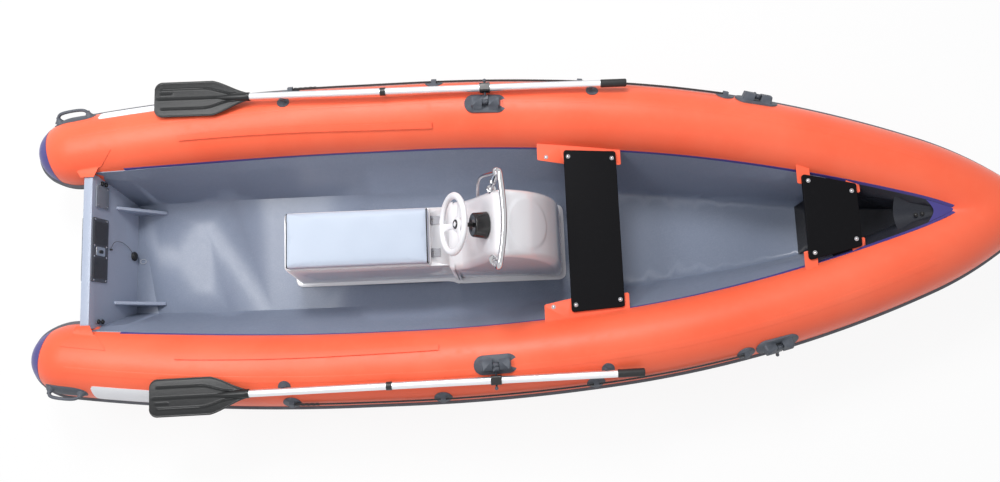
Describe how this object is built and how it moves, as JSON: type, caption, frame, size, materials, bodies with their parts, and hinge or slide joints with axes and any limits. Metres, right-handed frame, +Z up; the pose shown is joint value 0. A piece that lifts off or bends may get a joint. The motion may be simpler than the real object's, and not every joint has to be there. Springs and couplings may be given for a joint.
{
  "type": "rigid inflatable boat",
  "caption": "Small rigid inflatable boat with a V hull, orange tubes, centre console, seat locker, thwarts, grab rail, lifelines and stowed oars.",
  "frame": {"origin": "on the centreline at the waterline, under the outer top edge of the transom", "axes": "+X to the bow, +Y to port, +Z up"},
  "size_m": [5.068, 1.702, 1.128],
  "materials": {
    "black_board": "ribbed",
    "black_gloss": "gloss",
    "black_plastic": "satin",
    "black_rope": "braided",
    "black_rubber": "matt",
    "bolt_steel": "satin",
    "cap_navy": "coated cloth",
    "console_white": "gloss gelcoat",
    "deck_grey": "speckled gelcoat",
    "fitting_grey": "satin",
    "gelcoat_grey": "satin gelcoat",
    "hinge_steel": "satin",
    "oar_aluminium": "satin",
    "pad_grey": "ribbed",
    "plate_grey": "satin",
    "rail_chrome": "polished",
    "rubber_grey": "matt",
    "seat_vinyl": "stitched vinyl",
    "strake_grey": "ribbed",
    "strip_navy": "coated cloth",
    "transom_grey": "speckled gelcoat",
    "tube_orange": "coated cloth",
    "wheel_ring": "satin",
    "wheel_white": "satin"
  },
  "bodies": {
    "hull": {"bow_eye": "bolt_steel", "console": "console_white", "console_rail": "rail_chrome", "drain_bung": "black_rubber", "drain_lanyard": "black_rope", "drain_socket": "black_plastic", "end_cap_port": "cap_navy", "end_cap_starboard": "cap_navy", "helm_bezel": "black_gloss", "hull": "gelcoat_grey", "joint_strips": "strip_navy", "lanyard_eye": "black_plastic", "lid_hinge_bases": "hinge_steel", "lifeline_eyelets_port": "rubber_grey", "lifeline_eyelets_starboard": "rubber_grey", "lifeline_port": "black_rope", "lifeline_starboard": "black_rope", "liner": "deck_grey", "motor_pads": "pad_grey", "oar_clips_port": "rubber_grey", "oar_clips_starboard": "rubber_grey", "oarlock_base_aft_port": "rubber_grey", "oarlock_base_aft_starboard": "rubber_grey", "oarlock_base_fore_port": "rubber_grey", "oarlock_base_fore_starboard": "rubber_grey", "rail_leg": "rail_chrome", "rub_strake_port": "strake_grey", "rub_strake_starboard": "strake_grey", "step_strips": "tube_orange", "stern_handle_port": "rubber_grey", "stern_handle_starboard": "rubber_grey", "thwart_aft": "black_board", "thwart_flaps": "tube_orange", "thwart_fore": "black_board", "transom": "transom_grey", "transom_eye_bolts": "bolt_steel", "transom_gussets": "tube_orange", "transom_knees": "transom_grey", "transom_plate": "plate_grey", "tube_port": "tube_orange", "tube_starboard": "tube_orange"},
    "steering": {"steering_wheel": "wheel_white", "wheel_cap": "wheel_ring", "steering_shaft": "black_plastic"},
    "seat_lid": {"lid_board": "console_white", "seat_cushion": "seat_vinyl", "lid_hinge_leaves": "hinge_steel"},
    "oar_port": {"oar_swivel_aft_port": "fitting_grey", "oar_shaft_port": "oar_aluminium", "oar_blade_port": "black_plastic", "oar_grip_port": "black_rubber", "oar_sleeve_port": "black_plastic"},
    "oar_pin_port": {"oar_swivel_fore_port": "fitting_grey"},
    "oar_starboard": {"oar_swivel_aft_starboard": "fitting_grey", "oar_shaft_starboard": "oar_aluminium", "oar_blade_starboard": "black_plastic", "oar_grip_starboard": "black_rubber", "oar_sleeve_starboard": "black_plastic"},
    "oar_pin_starboard": {"oar_swivel_fore_starboard": "fitting_grey"}
  },
  "joints": [
    {"name": "steering", "type": "hinge", "parent": "hull", "child": "steering", "pos_m": [1.917, 0, 0.84], "axis": [-0.891, 0, 0.454], "range_deg": [-540, 540]},
    {"name": "seat_lid", "type": "hinge", "parent": "hull", "child": "seat_lid", "pos_m": [1.784, 0, 0.474], "axis": [0, 1, 0], "range_deg": [0, 75]},
    {"name": "oar_port_up", "type": "hinge", "parent": "hull", "child": "oar_port", "pos_m": [2.08587, 0.6577, 0.59762], "axis": [1, 0, 0], "range_deg": [0, 90]},
    {"name": "oar_starboard_up", "type": "hinge", "parent": "hull", "child": "oar_starboard", "pos_m": [2.08587, -0.6577, 0.59762], "axis": [-1, 0, 0], "range_deg": [0, 90]},
    {"name": "oar_pin_port_up", "type": "hinge", "parent": "hull", "child": "oar_pin_port", "pos_m": [3.46647, 0.63197, 0.57392], "axis": [0.9713, -0.2378, 0], "range_deg": [0, 110]},
    {"name": "oar_pin_starboard_up", "type": "hinge", "parent": "hull", "child": "oar_pin_starboard", "pos_m": [3.46647, -0.63197, 0.57392], "axis": [-0.9713, -0.2378, 0], "range_deg": [0, 110]}
  ]
}
